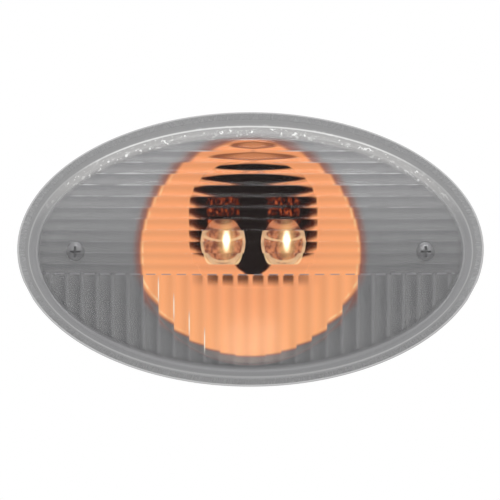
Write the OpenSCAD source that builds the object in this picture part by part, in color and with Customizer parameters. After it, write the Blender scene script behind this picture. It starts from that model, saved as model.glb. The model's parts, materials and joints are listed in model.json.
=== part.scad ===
// Oval marker lamp for a truck hood: a clear fluted lens over a metallised reflector,
// two LEDs with collimators in its bowl, and a rear housing with two studs and a socket.
// Frame: +X to the right, +Z up, the lens faces -Y, and y = 0 is the face of the hood panel.
// Each piece is drawn lying down, with z as the height above the hood panel and y up the
// lamp's face, and upright() then stands it in the frame.

/* [Outline] */
// Width over the lens flange
lamp_w = 140; // [134:1:156]
// Height over the lens flange
lamp_h = 82.4; // [80:0.2:94]

/* [Lens] */
// Height of the lens above its seat on the housing
lens_height = 27; // [26:0.5:34]
// Wall thickness of the lens
lens_wall = 2.2; // [1.8:0.1:2.6]
// Width of the flange around the foot of the lens
flange_w = 1.9; // [1.5:0.1:2.4]
// Thickness of that flange
flange_t = 2.5; // [1.6:0.1:3.4]
// Draft of the lens wall, in degrees
wall_draft = 9; // [5:0.5:10]
// Radius between the wall and the domed face
shoulder_r = 5.2; // [4.2:0.1:6.5]
// Radius of the domed face along the lamp
dome_r = 250; // [230:5:400]
// Height of the tongue under the lens wall
tongue_h = 1.1; // [0.7:0.1:1.3]
// Thickness of that tongue
tongue_t = 1.2; // [0.8:0.1:1.4]

/* [Lens flutes] */
// Pitch of the level flutes in the upper field
row_pitch = 3.33; // [2.8:0.01:3.4]
// Pitch of the upright flutes in the lower field
column_pitch = 4.54; // [4:0.01:4.6]
// How far each flute bulges into the lamp
flute_rise = 0.36; // [0.25:0.01:0.45]
// Height of the line between the two fields, from the lamp's centre
field_split = -6.7; // [-14:0.1:-5]
// Glass behind the flutes, over the plain wall
flute_backing = 0.5; // [0.4:0.1:0.9]
// How far the fluted face stays inside the outline
field_inset = 7.2; // [7:0.1:8.5]

/* [Rear housing] */
// Thickness of the housing under the lens flange
base_t = 3; // [2.8:0.1:4.5]
// Thickness of the housing floor
floor_t = 2.2; // [1.8:0.1:2.6]
// How far the housing stands back from the edge of the flange
housing_setback = 0.4; // [0:0.1:1]
// Width of the rim around the housing floor
rim_w = 6.2; // [5.8:0.1:7]
// Sealant between the tongue and its groove, on each face
sealant_t = 0.35; // [0.2:0.05:0.45]
// Diameter of the posts that carry the reflector
post_d = 8; // [7:0.5:10]
// How far those posts stand in from the ends of the lamp
post_inset = 17.9; // [17:0.1:19]
// Diameter of the breather hole
vent_d = 3; // [2:0.5:4]
// Diameter of the membrane over it
membrane_d = 7; // [6:0.5:9]
// Thickness of the membrane
membrane_t = 0.3; // [0.2:0.1:0.6]

/* [Mounting] */
// Distance between the studs
stud_pitch = 89; // [84:1:92]
// Thread diameter of the studs
stud_d = 5; // [4:0.5:6]
// Length of the studs behind the hood panel
stud_reach = 20; // [14:1:30]
// Width across the flats of the stud heads
stud_head_w = 8; // [8:0.5:10]
// Thickness of the stud heads
stud_head_t = 3.5; // [2.5:0.5:4.5]
// Wall of the stud bosses around the heads
stud_boss_wall = 2.2; // [1.6:0.1:3]
// Thickness of the foam gasket
gasket_t = 3; // [2.6:0.1:5]
// Width of the gasket
gasket_w = 8.5; // [6:0.5:9]
// How far the gasket stands back from the housing's edge
gasket_setback = 1.2; // [0.5:0.1:2]

/* [Connector] */
// Inside width of the socket
socket_w = 17; // [15:0.5:20]
// Inside height of the socket
socket_h = 11; // [10:0.5:11.5]
// Wall of the socket
socket_wall = 1.6; // [1.4:0.1:2]
// How far the socket reaches behind the hood panel
socket_reach = 16; // [12:1:22]
// Depth of the socket's inside
socket_depth = 14; // [9:1:15]
// Distance between the socket and the gasket
socket_gap = 3; // [2:0.5:4]
// Distance between the two pins
pin_pitch = 6; // [4:0.5:8]
// Width of a pin
pin_w = 1.5; // [1:0.1:2]
// Thickness of a pin
pin_t = 0.8; // [0.6:0.1:1]
// How far the pins stay inside the socket's mouth
pin_setback = 3; // [2:0.5:5]
// Depth of the sealed well around the pins
well_depth = 2.4; // [1.5:0.1:3]

/* [Reflector] */
// How far the reflector panel lies behind the fluted face
panel_drop = 10.3; // [9.3:0.1:11.3]
// Thickness of the panel
panel_t = 1.6; // [1.2:0.1:2]
// Gap between the panel and the lens wall
panel_gap = 0.6; // [0.4:0.1:1.2]
// Height of the skirt under the panel's edge
skirt_h = 5; // [3:0.5:8]
// Panel left above and below the bowl
bowl_margin = 2.25; // [2.2:0.05:4]
// Height of the bowl's floor over the circuit board
bowl_floor = 2.2; // [2:0.1:2.8]
// Height of the bowl's lip above the panel
lip_height = 2; // [1:0.1:2.4]
// Wall of the bowl
bowl_wall = 1.6; // [1.2:0.1:1.8]
// Diameter of the legs under the bowl
leg_d = 4; // [3:0.5:5]
// Gap between the legs and the circuit board
leg_gap = 3; // [1:0.5:4]
// Direction of the legs from the long axis, in degrees
leg_angle = 30; // [26:1:33]

/* [LED insert] */
// How far the insert sits to the right of the lamp's centre
insert_x = 0.8; // [0:0.1:1]
// Height of the insert's middle, from the lamp's centre
insert_y = 7.6; // [7:0.1:8]
// Width of the black holder
holder_w = 38; // [36:0.5:39]
// Height of the black holder
holder_h = 37; // [35:0.5:38]
// Corner radius of the holder
holder_r = 14; // [10:0.5:16]
// Gap between the holder and the reflector
holder_gap = 0.2; // [0.1:0.05:0.4]
// Skin thickness of the holder
holder_skin = 1.4; // [1:0.1:1.6]
// Width of the holder's ledge behind the bowl
ledge_w = 1.6; // [1:0.1:2]
// Diameter of the collimators
optic_d = 13.5; // [12:0.1:14.5]
// Height of the collimators over the circuit board
optic_height = 7.9; // [7:0.1:9]
// Distance between the collimators
optic_pitch = 18; // [16:0.1:19]
// Height of the collimators, from the lamp's centre
optic_y = 2.6; // [1:0.1:5]
// Gap between a collimator and its seat in the holder
optic_gap = 0.1; // [0.05:0.05:0.2]
// Width of an LED package
led_w = 3.45; // [3:0.05:3.6]

/* [Circuit board] */
// Board outside the middles of its screws
board_edge = 3.5; // [3:0.1:4]
// Board below the middle of the socket
board_drop = 8.7; // [8:0.1:9.5]
// Gap between the board screws' heads and the holder
head_gap = 0.8; // [0.4:0.1:1.5]
// Gap between the tallest part on the board and the bowl
part_gap = 0.6; // [0.4:0.1:1.5]
// Thickness of the circuit board
board_t = 1.6; // [1:0.1:1.6]
// Thickness of the aluminium spreader under it
spreader_t = 1.5; // [1:0.1:2]

/* [Fasteners] */
// Thread diameter of the reflector screws
reflector_screw_d = 3; // [2.5:0.1:3.5]
// Head diameter of the reflector screws
reflector_head_d = 5.4; // [5:0.1:6]
// Length of the reflector screws under the head
reflector_screw_l = 9; // [7:0.5:11]
// Thread diameter of the board screws
board_screw_d = 2.5; // [2:0.1:3]
// Head diameter of the board screws
board_head_d = 4.6; // [4:0.1:5]
// Length of the board screws under the head
board_screw_l = 6.5; // [5.5:0.1:6.8]
// Clearance of a screw in the piece it clamps, on the diameter
screw_play = 0.3; // [0.2:0.05:0.6]

/* [Hidden] */
$fn = 96;
EPS = 0.01;
PAST = 1;

half_w = lamp_w / 2;
half_h = lamp_h / 2;
seat_z = gasket_t + base_t;
floor_z = gasket_t + floor_t;
apex_z = seat_z + lens_height;

// The lens wall leans in by its draft, and the short axis takes a fixed share of that
inner_w = half_w - flange_w - lens_wall;
inner_h = half_h - flange_w - lens_wall;
function lens_inside(z) = 1 - (z - seat_z) * tan(wall_draft) / inner_w;

// Middle of the shoulder arc, which meets both the wall and the domed face
lean = [-cos(wall_draft), -sin(wall_draft)];
rise = [-sin(wall_draft), cos(wall_draft)];
shoulder_from = [half_w - flange_w, seat_z - apex_z + dome_r] + shoulder_r * lean;
shoulder_run = sqrt(
  pow(shoulder_from * rise, 2) - shoulder_from * shoulder_from + pow(dome_r - shoulder_r, 2));
lens_shoulder = [half_w - flange_w, seat_z] + shoulder_r * lean
  + (shoulder_run - shoulder_from * rise) * rise;

// Flutes: cusps lie on an arc along one axis, and each rib is a round bulge between two cusps
face_z = apex_z - lens_wall - flute_backing;
face_r_long = dome_r - lens_wall - flute_backing;
face_r_short = face_r_long * pow((half_h - flange_w) / (half_w - flange_w), 2);
field_half_w = half_w - field_inset;
field_half_h = half_h - field_inset;
field_land = 0.6;
row_count = floor((field_half_h - field_land - field_split) / row_pitch);
facets = 3;
foot_steps = 3;
shoulder_steps = 4;
dome_steps = 6;

tongue_inset = flange_w + (lens_wall - tongue_t) / 2;
groove_depth = tongue_h + sealant_t;

spreader_z = floor_z;
board_z = spreader_z + spreader_t;
board_top = board_z + board_t;

panel_z = face_z - panel_drop;
panel_w = inner_w * lens_inside(panel_z) - panel_gap;
panel_h = inner_h * lens_inside(panel_z) - panel_gap;
mouth_z = panel_z + lip_height;
bowl_r = panel_h - bowl_margin;
bowl_z = board_top + bowl_floor;
bowl_depth = mouth_z - bowl_z;
bowl_steps = 16;
lip_w = 0.9;
post_x = half_w - post_inset;
function bowl_underside(r) = bowl_z + bowl_depth * pow(r / bowl_r, 2) - bowl_wall;

stud_x = stud_pitch / 2;
stud_head_z = floor_z - 0.6;
stud_collar_d = stud_d + 1.2;
stud_chamfer = 0.6;
stud_boss_d = stud_head_w / cos(30) + 2 * stud_boss_wall;
vent_at = [-34, -8];

socket_y = housing_setback + gasket_setback + gasket_w + socket_gap + socket_h / 2 + socket_wall - half_h;
socket_corner_r = 1.5;
socket_key = [1, 0.8];
latch_size = [1.2, 5, 4];
latch_lip = 1;
well_w = pin_pitch + pin_w + 4;
well_h = pin_t + 5;
well_corner_r = 1;
well_gap = 0.3;

optic_x = optic_pitch / 2;
optic_foot = 0.8;
optic_foot_d = 6.4;
optic_flange_t = 1.2;
optic_neck_d = optic_d - 1;
optic_bore_d = 3.4;
optic_bore_h = 2;
optic_dish_h = 0.5;
optic_cup_d = 11.4;
led_base_t = 0.7;
led_dome_d = 2.8;

// Shares of a screw head's diameter, and of its thread's for the tip
screw_head_ratio = 0.38;
cross_w_ratio = 0.6;
cross_t_ratio = 0.14;
cross_floor_ratio = 0.45;
screw_tip_ratio = 0.35;

// The board's screws stand off the holder's upper corners, and its edges go by the screws and the socket
board_screw_turn = 45;
board_screw_off = holder_r + head_gap + board_head_d / 2;
board_screw_x = holder_w / 2 - holder_r + board_screw_off * cos(board_screw_turn);
board_screw_y = insert_y + holder_h / 2 - holder_r + board_screw_off * sin(board_screw_turn);
board_w = 2 * (board_screw_x + board_edge);
board_low = socket_y - board_drop;
board_h = board_screw_y + board_edge - board_low;
board_y = board_low + board_h / 2;
board_r = 3;
spreader_low = insert_y - holder_h / 2 + 1;
spreader_h = board_screw_y + board_edge - 1 - spreader_low;
spreader_y = spreader_low + spreader_h / 2;
screw_pad_d = board_screw_d + 4.5;
screw_pad_t = gasket_t - 0.6;
bore_extra = 0.5;
stake_d = 2;
stake_head_t = 0.8;
stake_collar_d = 4.4;
stake_x = board_w / 2 - 5;
stake_y = board_low + 5;
leg_x = board_w / 2 + insert_x + leg_gap + leg_d / 2;
leg_y = leg_x * tan(leg_angle);

// Parts on the board: the chip and the diode beside the holder's lower corners, the rest under it
pin_stand = 1.2;
chip_size = [4, 5, 1.6];
chip_stand = 0.15;
chip_lead_pitch = 1.27;
lead_tuck = 0.05;
chip_lead = [0.9, 0.4, 0.5];
chip_off = [4, -1.6];
chip_at = [insert_x - board_w / 2 + chip_off.x, insert_y - holder_h / 2 + chip_off.y];
coil_size = [6.5, 6.5, 3];
flange_step = 0.8;
coil_step = 0.4;
coil_off = [-9.5, 5.7];
coil_at = [coil_off.x, board_low + coil_off.y];
capacitor_d = 6.3;
capacitor_off = [11, 6.2];
capacitor_at = [capacitor_off.x, board_low + capacitor_off.y];
capacitor_h = bowl_underside(norm(capacitor_at) - capacitor_d / 2) - board_top - part_gap;
diode_size = [4.3, 2.6, 2.2];
diode_lead = [1, 1.3, 0.8];
diode_off = [-6.4, -1.7];
diode_at = [insert_x + board_w / 2 + diode_off.x, insert_y - holder_h / 2 + diode_off.y];
resistor_size = [1.6, 3.2, 0.6];
resistor_off = [0.8, 1];
resistor_at = [(pin_pitch + pin_w + resistor_size.x) / 2 + resistor_off.x, socket_y + resistor_off.y];

// Shared shapes

module upright() rotate([90, 0, 0]) children();

module oval(inset) scale([half_w - inset, half_h - inset]) circle(r = 1);

module oval_plate(inset, z0, z1)
  translate([0, 0, z0]) linear_extrude(z1 - z0) oval(inset);

module oval_ring(inset, width, z0, z1)
  translate([0, 0, z0]) linear_extrude(z1 - z0) difference() {
    oval(inset);
    oval(inset + width);
  }

module rounded(w, h, r) {
  square([w - 2 * r, h], center = true);
  square([w, h - 2 * r], center = true);
  for (x = [-1, 1], y = [-1, 1])
    translate([x * (w / 2 - r), y * (h / 2 - r)]) circle(r = r);
}

module rounded_plate(w, h, r, z0, z1)
  translate([0, 0, z0]) linear_extrude(z1 - z0) rounded(w, h, r);

module at_insert(y) translate([insert_x, y, 0]) children();

module block(size) translate([-size.x / 2, -size.y / 2, 0]) cube(size);

// Lens

// Bulge of a flute at a share t of its pitch
function bulge(t, pitch) =
  let (r = (pitch * pitch / 4 + flute_rise * flute_rise) / (2 * flute_rise), v = (t - 0.5) * pitch)
  sqrt(r * r - v * v) - r + flute_rise;

// Height of the cusps of the fluted face over a point
function face_height(x, y) =
  face_z - face_r_long + sqrt(face_r_long * face_r_long - x * x)
  - face_r_short + sqrt(face_r_short * face_r_short - y * y);

// Half length of the fluted face at a height y, and where it ends below at a place x
function field_reach(y) = field_half_w * sqrt(1 - pow(y / field_half_h, 2));
function field_foot(x) = -field_half_h * sqrt(1 - pow(x / (field_half_w + field_land), 2));

side_cusps = floor((field_reach(field_split) - field_land) / column_pitch);
row_xs = concat(
  [-field_reach(field_split)],
  [for (i = [-side_cusps:side_cusps]) i * column_pitch],
  [field_reach(field_split)]
);
column_xs = concat(
  [-field_reach(field_split)],
  [for (i = [0:2 * side_cusps * facets]) (i / facets - side_cusps) * column_pitch],
  [field_reach(field_split)]
);
row_last = row_count * facets;
cell_count = len(row_xs) - 1;
strip_count = len(column_xs) - 1;

// Level flutes above the split: each line of points keeps its height and ends at the field's edge
upper_points = [
  for (j = [0:row_last], x = row_xs)
    let (
      y = field_split + j * row_pitch / facets,
      at = x * field_reach(y) / field_reach(field_split),
      t = j / facets - floor(j / facets)
    )
    [at, y, face_height(at, y) - bulge(t, row_pitch)]
];

// Upright flutes below the split: each line of points keeps its place along the lamp
lower_points = [
  for (k = [0:foot_steps], i = [0:strip_count])
    let (
      x = column_xs[i],
      y = field_split + (field_foot(x) - field_split) * k / foot_steps,
      t = (i - 1) / facets - floor((i - 1) / facets),
      plain = i == 0 || i == strip_count
    )
    [x, y, face_height(x, y) - (plain ? 0 : bulge(t, column_pitch))]
];

lower_first = len(upper_points);
function upper_at(j, i) = j * (cell_count + 1) + i;
function lower_at(k, i) = lower_first + k * (strip_count + 1) + i;

// Edge of the fluted face, once around
field_edge = concat(
  [for (j = [0:row_last]) upper_at(j, 0)],
  [for (i = [1:cell_count]) upper_at(row_last, i)],
  [for (j = [row_last - 1:-1:0]) upper_at(j, cell_count)],
  [for (k = [1:foot_steps]) lower_at(k, strip_count)],
  [for (i = [strip_count - 1:-1:0]) lower_at(foot_steps, i)],
  [for (k = [foot_steps - 1:-1:1]) lower_at(k, 0)]
);
edge_count = len(field_edge);

// Directions from the middle to every third point of that edge, which the rings outside it keep
ring_count = ceil(edge_count / 3);
function ring_of(n) = floor(n / 3) % ring_count;
lens_points = concat(upper_points, lower_points);
ring_turns = [
  for (m = [0:ring_count - 1])
    let (p = lens_points[field_edge[3 * m]])
    atan2(p.y / field_half_h, p.x / field_half_w)
];

// Section of the lens from the inside of its wall, under the foot and over the outside to the face,
// as half length, half height and level
dome_centre = [0, apex_z - dome_r];
dome_turn = atan2(lens_shoulder.y - dome_centre.y, lens_shoulder.x);
foot_share = (half_h - flange_w) / (half_w - flange_w);
wall_foot_x = half_w - flange_w - flange_t * tan(wall_draft);
function inset_level(inset, z) = [half_w - inset, half_h - inset, z];
function dome_level(p) = [p.x, p.x * foot_share, p.y];
levels = concat(
  [
    for (z = [lens_shoulder.y, seat_z]) [inner_w * lens_inside(z), inner_h * lens_inside(z), z]
  ],
  [
    inset_level(tongue_inset + tongue_t, seat_z),
    inset_level(tongue_inset + tongue_t, seat_z - tongue_h),
    inset_level(tongue_inset, seat_z - tongue_h),
    inset_level(tongue_inset, seat_z),
    inset_level(0, seat_z),
    inset_level(0, seat_z + flange_t),
    dome_level([wall_foot_x, seat_z + flange_t])
  ],
  [
    for (i = [0:shoulder_steps])
      let (turn = wall_draft + (dome_turn - wall_draft) * i / shoulder_steps)
      dome_level(lens_shoulder + shoulder_r * [cos(turn), sin(turn)])
  ],
  [
    for (i = [1:dome_steps - 1])
      let (turn = dome_turn + (90 - dome_turn) * i / dome_steps)
      dome_level(dome_centre + dome_r * [cos(turn), sin(turn)])
  ]
);
level_last = len(levels) - 1;
ring_first = len(lens_points);
function ring_at(level, m) = ring_first + level * ring_count + m % ring_count;
crown = ring_first + len(levels) * ring_count;

// Two triangles over a cell, given its corners in order
function cell(a, b, c, d) = [[a, b, c], [a, c, d]];

module lens_solid() {
  points = concat(
    lens_points,
    [for (level = levels, turn = ring_turns) [level[0] * cos(turn), level[1] * sin(turn), level[2]]],
    [[0, 0, apex_z]]
  );
  faces = concat(
    [for (j = [0:row_last - 1], i = [0:cell_count - 1])
      each cell(upper_at(j, i), upper_at(j, i + 1), upper_at(j + 1, i + 1), upper_at(j + 1, i))],
    [for (k = [0:foot_steps - 1], i = [0:strip_count - 1])
      each cell(lower_at(k, i), lower_at(k + 1, i), lower_at(k + 1, i + 1), lower_at(k, i + 1))],
    // The step between the two fields, over each upright flute
    [for (i = [1:cell_count - 2])
      concat(
        [upper_at(0, i)],
        [for (n = [1:facets - 1]) lower_at(0, (i - 1) * facets + 1 + n)],
        [upper_at(0, i + 1)]
      )],
    // From the edge of the flutes to the first ring
    [for (n = [0:edge_count - 1])
      let (next = (n + 1) % edge_count, here = ring_at(0, ring_of(n)), there = ring_at(0, ring_of(next)))
      each here == there
        ? [[field_edge[n], field_edge[next], here]]
        : cell(field_edge[n], field_edge[next], there, here)],
    [for (level = [0:level_last - 1], m = [0:ring_count - 1])
      each cell(ring_at(level, m), ring_at(level, m + 1), ring_at(level + 1, m + 1), ring_at(level + 1, m))],
    [for (m = [0:ring_count - 1]) [ring_at(level_last, m), ring_at(level_last, m + 1), crown]]
  );
  polyhedron(points = points, faces = faces);
}

module outer_lens()
  color("gainsboro", 0.4) upright() lens_solid();

module lens_sealant()
  color("whitesmoke") upright() difference() {
    oval_ring(tongue_inset - sealant_t, tongue_t + 2 * sealant_t, seat_z - groove_depth, seat_z);
    oval_ring(tongue_inset, tongue_t, seat_z - tongue_h, seat_z + PAST);
  }

// Screws and studs

module pan_screw(d, head_d, length) {
  head_h = head_d * screw_head_ratio;
  crown_r = (pow(head_d / 2, 2) + head_h * head_h / 4) / head_h;
  difference() {
    union() {
      cylinder(d = head_d, h = head_h / 2);
      intersection() {
        translate([0, 0, head_h - crown_r]) sphere(r = crown_r);
        cylinder(d = head_d, h = head_h);
      }
    }
    for (a = [0, 90])
      rotate(a) translate([0, 0, head_h * cross_floor_ratio])
        block([head_d * cross_w_ratio, head_d * cross_t_ratio, head_h]);
  }
  translate([0, 0, -length + d / 2]) cylinder(d = d, h = length - d / 2 + EPS);
  translate([0, 0, -length]) cylinder(d1 = d * screw_tip_ratio, d2 = d, h = d / 2);
}

// Six-sided head and a collar held in the housing, and the thread that stands out of it
module stud_shape() {
  translate([0, 0, stud_head_z]) cylinder(d = stud_head_w / cos(30), h = stud_head_t, $fn = 6);
  cylinder(d = stud_collar_d, h = stud_head_z + EPS);
  translate([0, 0, stud_chamfer - stud_reach]) cylinder(d = stud_d, h = stud_reach - stud_chamfer + EPS);
  translate([0, 0, -stud_reach]) cylinder(d1 = stud_d - 2 * stud_chamfer, d2 = stud_d, h = stud_chamfer);
}

module reflector_screw(side)
  color("silver") upright() translate([side * post_x, 0, panel_z])
    pan_screw(reflector_screw_d, reflector_head_d, reflector_screw_l);

module board_screw(side)
  color("silver") upright() at_insert(board_screw_y) translate([side * board_screw_x, 0, board_top])
    pan_screw(board_screw_d, board_head_d, board_screw_l);

module stud(side)
  color("silver") upright() translate([side * stud_x, 0, 0]) stud_shape();

// Rear housing

module housing_shell()
  difference() {
    oval_plate(housing_setback, gasket_t, seat_z);
    oval_plate(rim_w, floor_z, seat_z + PAST);
    oval_ring(tongue_inset - sealant_t, tongue_t + 2 * sealant_t, seat_z - groove_depth, seat_z + PAST);
  }

module housing_posts() {
  for (side = [-1, 1]) {
    translate([side * post_x, 0, gasket_t + EPS])
      cylinder(d = post_d, h = panel_z - panel_t - gasket_t - EPS);
    translate([side * stud_x, 0, 0])
      cylinder(d = stud_boss_d, h = stud_head_z + stud_head_t + stud_boss_wall);
    at_insert(board_screw_y) translate([side * board_screw_x, 0, gasket_t - screw_pad_t])
      cylinder(d = screw_pad_d, h = screw_pad_t + EPS);
    at_insert(stake_y) translate([side * stake_x, 0, floor_z - EPS]) {
      cylinder(d = stake_collar_d, h = spreader_t + EPS);
      cylinder(d = stake_d, h = spreader_t + board_t + stake_head_t);
    }
  }
}

module housing_bores() {
  for (side = [-1, 1]) {
    translate([side * post_x, 0, panel_z - reflector_screw_l - bore_extra])
      cylinder(d = reflector_screw_d, h = reflector_screw_l + PAST);
    translate([side * stud_x, 0, 0]) stud_shape();
    at_insert(board_screw_y) translate([side * board_screw_x, 0, board_top - board_screw_l - bore_extra])
      cylinder(d = board_screw_d, h = board_screw_l + PAST);
  }
  translate([vent_at.x, vent_at.y, 0]) cylinder(d = vent_d, h = seat_z + PAST);
}

module socket_outside()
  translate([0, socket_y, 0]) {
    rounded_plate(
      socket_w + 2 * socket_wall, socket_h + 2 * socket_wall, socket_corner_r + socket_wall,
      -socket_reach, gasket_t + EPS
    );
    // Latch ramp for the plug
    translate([-latch_size.y / 2, socket_h / 2 + socket_wall, latch_size.z - socket_reach])
      rotate([90, 0, 90]) linear_extrude(latch_size.y)
        polygon([
          [-EPS, 0],
          [latch_size.x, latch_size.z - latch_lip],
          [latch_size.x, latch_size.z],
          [-EPS, latch_size.z]
        ]);
  }

module socket_inside()
  translate([0, socket_y, 0]) {
    difference() {
      rounded_plate(socket_w, socket_h, socket_corner_r, -socket_reach - PAST, socket_depth - socket_reach);
      // Key ribs that stop a plug turned the wrong way
      for (side = [-1, 1])
        translate([side * socket_w / 4, socket_h / 2, -socket_reach])
          block([socket_key.x, 2 * socket_key.y, socket_depth]);
    }
    rounded_plate(well_w, well_h, well_corner_r, floor_z - well_depth, floor_z + PAST);
  }

module rear_housing()
  color([0.64, 0.64, 0.64]) upright() difference() {
    union() {
      housing_shell();
      housing_posts();
      socket_outside();
    }
    housing_bores();
    socket_inside();
    for (side = [-1, 1]) pin_bar(side);
  }

module hood_gasket()
  color([0.1, 0.1, 0.1]) upright()
    oval_ring(housing_setback + gasket_setback, gasket_w, 0, gasket_t);

module vent_membrane()
  color("white") upright() translate([vent_at.x, vent_at.y, floor_z])
    cylinder(d = membrane_d, h = membrane_t);

// Reflector

module oval_panel(inset, z0, z1)
  translate([0, 0, z0]) linear_extrude(z1 - z0) scale([panel_w - inset, panel_h - inset]) circle(r = 1);

function bowl_curve(drop) = [
  for (i = [0:bowl_steps])
    let (r = bowl_r * i / bowl_steps)
    [r, bowl_z - drop + bowl_depth * pow(i / bowl_steps, 2)]
];

// Everything inside the bowl
module bowl_space()
  rotate_extrude()
    polygon(concat(bowl_curve(0), [[bowl_r, apex_z], [0, apex_z]]));

// A shell that follows the bowl, between two depths under its surface
module bowl_shell(drop, thickness)
  rotate_extrude()
    polygon(concat(bowl_curve(drop), [for (i = [bowl_steps:-1:0]) bowl_curve(drop + thickness)[i]]));

module holder_prism(gap, z0)
  translate([insert_x, insert_y, 0])
    rounded_plate(holder_w + 2 * gap, holder_h + 2 * gap, holder_r + gap, z0, apex_z);

module reflector()
  color("darkgray") upright() difference() {
    union() {
      oval_panel(0, panel_z - panel_t, panel_z);
      difference() {
        oval_panel(0, panel_z - skirt_h, panel_z);
        oval_panel(panel_t, panel_z - skirt_h - PAST, panel_z);
      }
      bowl_shell(0, bowl_wall);
      translate([0, 0, panel_z - EPS]) cylinder(r = bowl_r + lip_w, h = lip_height + EPS);
      for (x = [-1, 1], y = [-1, 1])
        translate([x * leg_x, y * leg_y, floor_z]) cylinder(d = leg_d, h = panel_z - floor_z - EPS);
    }
    bowl_space();
    holder_prism(holder_gap, 0);
    for (side = [-1, 1])
      translate([side * post_x, 0, panel_z - panel_t - PAST])
        cylinder(d = reflector_screw_d + screw_play, h = panel_t + 2 * PAST);
  }

// LED insert

// Collimator: a cone under a round flange, grown by gap for its seat in the holder
module optic_body(gap)
  translate([0, 0, board_top])
    rotate_extrude() polygon([
      [0, optic_foot - gap],
      [optic_foot_d / 2 + gap, optic_foot - gap],
      [optic_neck_d / 2 + gap, optic_height - optic_flange_t],
      [optic_d / 2 + gap, optic_height - optic_flange_t],
      [optic_d / 2 + gap, optic_height],
      [0, optic_height]
    ]);

module at_optic(side) at_insert(optic_y) translate([side * optic_x, 0, 0]) children();

module optic(side)
  color("lightyellow", 0.6) upright() at_optic(side) difference() {
    optic_body(0);
    translate([0, 0, board_top + optic_foot - PAST]) cylinder(d = optic_bore_d, h = optic_bore_h + PAST);
    translate([0, 0, board_top + optic_height - optic_dish_h])
      cylinder(d1 = optic_bore_d, d2 = optic_neck_d, h = optic_dish_h + EPS);
  }

module led_holder()
  color([0.1, 0.08, 0.08]) upright() difference() {
    union() {
      intersection() {
        bowl_shell(0, holder_skin);
        holder_prism(0, board_top);
      }
      difference() {
        holder_prism(0, board_top);
        holder_prism(-holder_skin, 0);
      }
      intersection() {
        bowl_shell(bowl_wall + holder_gap, holder_skin);
        difference() {
          holder_prism(ledge_w, board_top);
          holder_prism(-holder_skin, 0);
        }
      }
      for (side = [-1, 1])
        at_optic(side) translate([0, 0, board_top]) cylinder(d = optic_cup_d, h = bowl_z - board_top);
    }
    bowl_space();
    for (side = [-1, 1]) {
      at_optic(side) optic_body(optic_gap);
      at_optic(side) translate([0, 0, board_top - PAST])
        cylinder(d = optic_foot_d + 2 * optic_gap, h = 2 * PAST);
    }
  }

module led(side)
  color("gold") upright() at_optic(side) translate([0, 0, board_top]) {
    translate([-led_w / 2, -led_w / 2, 0]) cube([led_w, led_w, led_base_t]);
    intersection() {
      translate([0, 0, led_base_t]) sphere(d = led_dome_d);
      cylinder(d = led_dome_d + PAST, h = led_dome_d);
    }
  }

// Circuit board

module circuit_board()
  color("whitesmoke") upright() difference() {
    at_insert(board_y) rounded_plate(board_w, board_h, board_r, board_z, board_top);
    for (side = [-1, 1]) {
      at_insert(board_screw_y) translate([side * board_screw_x, 0, 0])
        cylinder(d = board_screw_d + screw_play, h = board_top + PAST);
      at_insert(stake_y) translate([side * stake_x, 0, 0])
        cylinder(d = stake_d + screw_play, h = board_top + PAST);
      pin_bar(side);
    }
  }

module heat_spreader()
  color("silver") upright() difference() {
    at_insert(spreader_y) rounded_plate(board_w - 2, spreader_h, board_r, spreader_z, board_z);
    for (side = [-1, 1])
      at_insert(board_screw_y) translate([side * board_screw_x, 0, 0])
        cylinder(d = board_screw_d + screw_play, h = board_top);
  }

module on_board(at) translate([at.x, at.y, board_top]) children();

module driver_chip()
  color([0.12, 0.12, 0.12]) upright() on_board(chip_at) {
    translate([0, 0, chip_stand]) block(chip_size);
    for (side = [-1, 1], i = [-1.5:1.5])
      translate([side * (chip_size.x + chip_lead.x) / 2 - side * lead_tuck, i * chip_lead_pitch, 0])
        block(chip_lead);
  }

module driver_coil()
  color("dimgray") upright() on_board(coil_at) {
    block([coil_size.x, coil_size.y, flange_step]);
    translate([0, 0, flange_step - EPS])
      cylinder(d = coil_size.x - 2 * coil_step, h = coil_size.z - 2 * flange_step + 2 * EPS);
    translate([0, 0, coil_size.z - flange_step])
      cylinder(d = coil_size.x - coil_step, h = flange_step);
  }

module filter_capacitor()
  color("silver") upright() on_board(capacitor_at) {
    block([capacitor_d, capacitor_d, flange_step]);
    translate([0, 0, flange_step - EPS])
      cylinder(d = capacitor_d - coil_step, h = capacitor_h - flange_step + EPS);
  }

module reverse_diode()
  color([0.12, 0.12, 0.12]) upright() on_board(diode_at) {
    block(diode_size);
    for (side = [-1, 1])
      translate([side * diode_size.x / 2, 0, 0]) block(diode_lead);
  }

module resistor(side)
  color([0.2, 0.2, 0.22]) upright() on_board([side * resistor_at.x, resistor_at.y]) block(resistor_size);

// Connector pins

module pin_bar(side)
  translate([side * pin_pitch / 2 - pin_w / 2, socket_y - pin_t / 2, pin_setback - socket_reach])
    cube([pin_w, pin_t, board_top + pin_stand + socket_reach - pin_setback]);

module pin(side) color("gold") upright() pin_bar(side);

module pin_potting()
  color([0.2, 0.18, 0.16]) upright() difference() {
    translate([0, socket_y, 0])
      rounded_plate(well_w, well_h, well_corner_r, floor_z - well_depth, floor_z - well_gap);
    for (side = [-1, 1]) pin_bar(side);
  }

outer_lens();
lens_sealant();
rear_housing();
reflector();
reflector_screw(-1);  // reflector_screw_left
reflector_screw(1);  // reflector_screw_right
led_holder();
optic(-1);  // optic_left
optic(1);  // optic_right
led(-1);  // led_left
led(1);  // led_right
circuit_board();
heat_spreader();
board_screw(-1);  // board_screw_left
board_screw(1);  // board_screw_right
driver_chip();
driver_coil();
filter_capacitor();
reverse_diode();
resistor(-1);  // resistor_left
resistor(1);  // resistor_right
pin(-1);  // ground_pin
pin(1);  // supply_pin
pin_potting();
vent_membrane();
hood_gasket();
stud(-1);  // stud_left
stud(1);  // stud_right
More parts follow.
